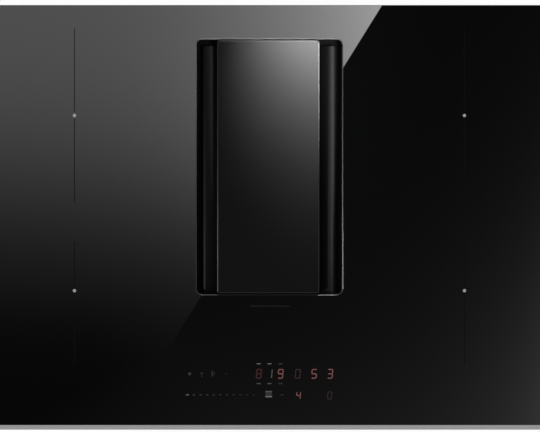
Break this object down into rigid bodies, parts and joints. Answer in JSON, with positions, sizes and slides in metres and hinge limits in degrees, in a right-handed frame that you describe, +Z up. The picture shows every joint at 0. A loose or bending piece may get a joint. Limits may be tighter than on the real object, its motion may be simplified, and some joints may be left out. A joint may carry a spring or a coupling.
{
  "type": "downdraft induction cooktop",
  "caption": "Built-in induction cooktop with a black glass top, a covered downdraft opening in its middle, lift-out grease filter and drip tray, blower and flat duct outlet.",
  "frame": {"origin": "under the middle of the glass, on the flat underside of the air box", "axes": "+Z up, +Y to the rear of the cooktop, +X to the right as the cook sees it"},
  "size_m": [0.78, 0.52, 0.2105],
  "materials": {
    "black_ceramic_glass": "polished",
    "satin_black_metal": "satin",
    "black_moulding": "satin",
    "black_rubber": "matte",
    "grey_foam": "matte",
    "black_silicone": "satin",
    "stainless_steel": "brushed",
    "aluminium_mesh": "satin",
    "aluminium": "satin",
    "drip_tray_plastic": "matte",
    "zinc_plated_steel": "spangled",
    "bright_steel": "bright",
    "copper_wire": "enamelled",
    "ferrite": "matte",
    "insulation_fleece": "matte",
    "circuit_board": "satin",
    "capacitor_plastic": "gloss",
    "black_components": "satin",
    "white_plastic": "matte",
    "casing_plastic": "grained",
    "grey_plastic": "satin",
    "light_grey_plastic": "satin",
    "laminated_steel": "matte"
  },
  "bodies": {
    "root": {"bowl_seal": "black_silicone", "cable_gland": "grey_plastic", "casing_seal": "grey_foam", "ceramic_glass": "black_ceramic_glass", "coil_carrier_front_left": "aluminium", "coil_carrier_front_right": "aluminium", "coil_carrier_rear_left": "aluminium", "coil_carrier_rear_right": "aluminium", "coil_winding_front_left": "copper_wire", "coil_winding_front_right": "copper_wire", "coil_winding_rear_left": "copper_wire", "coil_winding_rear_right": "copper_wire", "control_board": "circuit_board", "control_bracket": "white_plastic", "cooling_fan_frame_left": "black_components", "cooling_fan_frame_right": "black_components", "display_modules": "black_components", "ferrite_bars": "ferrite", "filter_board": "circuit_board", "fixing_brackets": "zinc_plated_steel", "flap_pin": "bright_steel", "glass_adhesive": "black_silicone", "heat_sink_left": "aluminium", "heat_sink_right": "aluminium", "hob_tray": "zinc_plated_steel", "inlet_ring": "grey_plastic", "insulation_sheets": "insulation_fleece", "lower_casing": "casing_plastic", "mains_chokes": "copper_wire", "motor_bearings": "bright_steel", "motor_flange": "aluminium", "motor_mounts": "black_rubber", "motor_stator": "laminated_steel", "outlet_spigot": "light_grey_plastic", "pan_head_screws": "bright_steel", "power_board_left": "circuit_board", "power_board_right": "circuit_board", "power_components_left": "capacitor_plastic", "power_components_right": "capacitor_plastic", "scroll_cover": "grey_plastic", "scroll_housing": "grey_plastic", "sensor_springs": "bright_steel", "temperature_sensors": "white_plastic", "terminal_block": "white_plastic", "terminal_cover": "casing_plastic", "touch_springs": "bright_steel", "vent_bowl": "black_moulding", "worktop_seal": "grey_foam"},
    "drip_tray": {"drip_tray": "drip_tray_plastic"},
    "grease_filter": {"filter_frame": "stainless_steel", "filter_mesh": "aluminium_mesh", "filter_grip": "stainless_steel"},
    "vent_cover": {"vent_cover": "satin_black_metal", "vent_cover_feet": "black_rubber"},
    "blower_impeller": {"impeller": "black_components", "motor_rotor": "bright_steel", "motor_shaft": "bright_steel"},
    "cooling_fan_left": {"cooling_fan_rotor_left": "black_components"},
    "cooling_fan_right": {"cooling_fan_rotor_right": "black_components"},
    "duct_flap": {"duct_flap": "grey_plastic"}
  },
  "joints": [
    {"name": "drip_tray_lift", "type": "slide", "parent": "root", "child": "drip_tray", "axis": [0, 0, 1], "range_m": [0, 0.215]},
    {"name": "grease_filter_lift", "type": "slide", "parent": "drip_tray", "child": "grease_filter", "axis": [0, 0, 1], "range_m": [0, 0.065]},
    {"name": "vent_cover_lift", "type": "slide", "parent": "grease_filter", "child": "vent_cover", "axis": [0, 0, 1], "range_m": [0, 0.05]},
    {"name": "impeller_spin", "type": "hinge", "parent": "root", "child": "blower_impeller", "pos_m": [0.196, 0.012, 0], "axis": [0, 0, 1], "continuous": true},
    {"name": "cooling_fan_left_spin", "type": "hinge", "parent": "root", "child": "cooling_fan_left", "pos_m": [-0.2386, -0.172, 0], "axis": [0, 0, 1], "continuous": true},
    {"name": "cooling_fan_right_spin", "type": "hinge", "parent": "root", "child": "cooling_fan_right", "pos_m": [0.2386, -0.172, 0], "axis": [0, 0, 1], "continuous": true},
    {"name": "duct_flap_swing", "type": "hinge", "parent": "root", "child": "duct_flap", "pos_m": [0.226, 0.206, 0.1355], "axis": [1, 0, 0], "range_deg": [0, 75]}
  ]
}
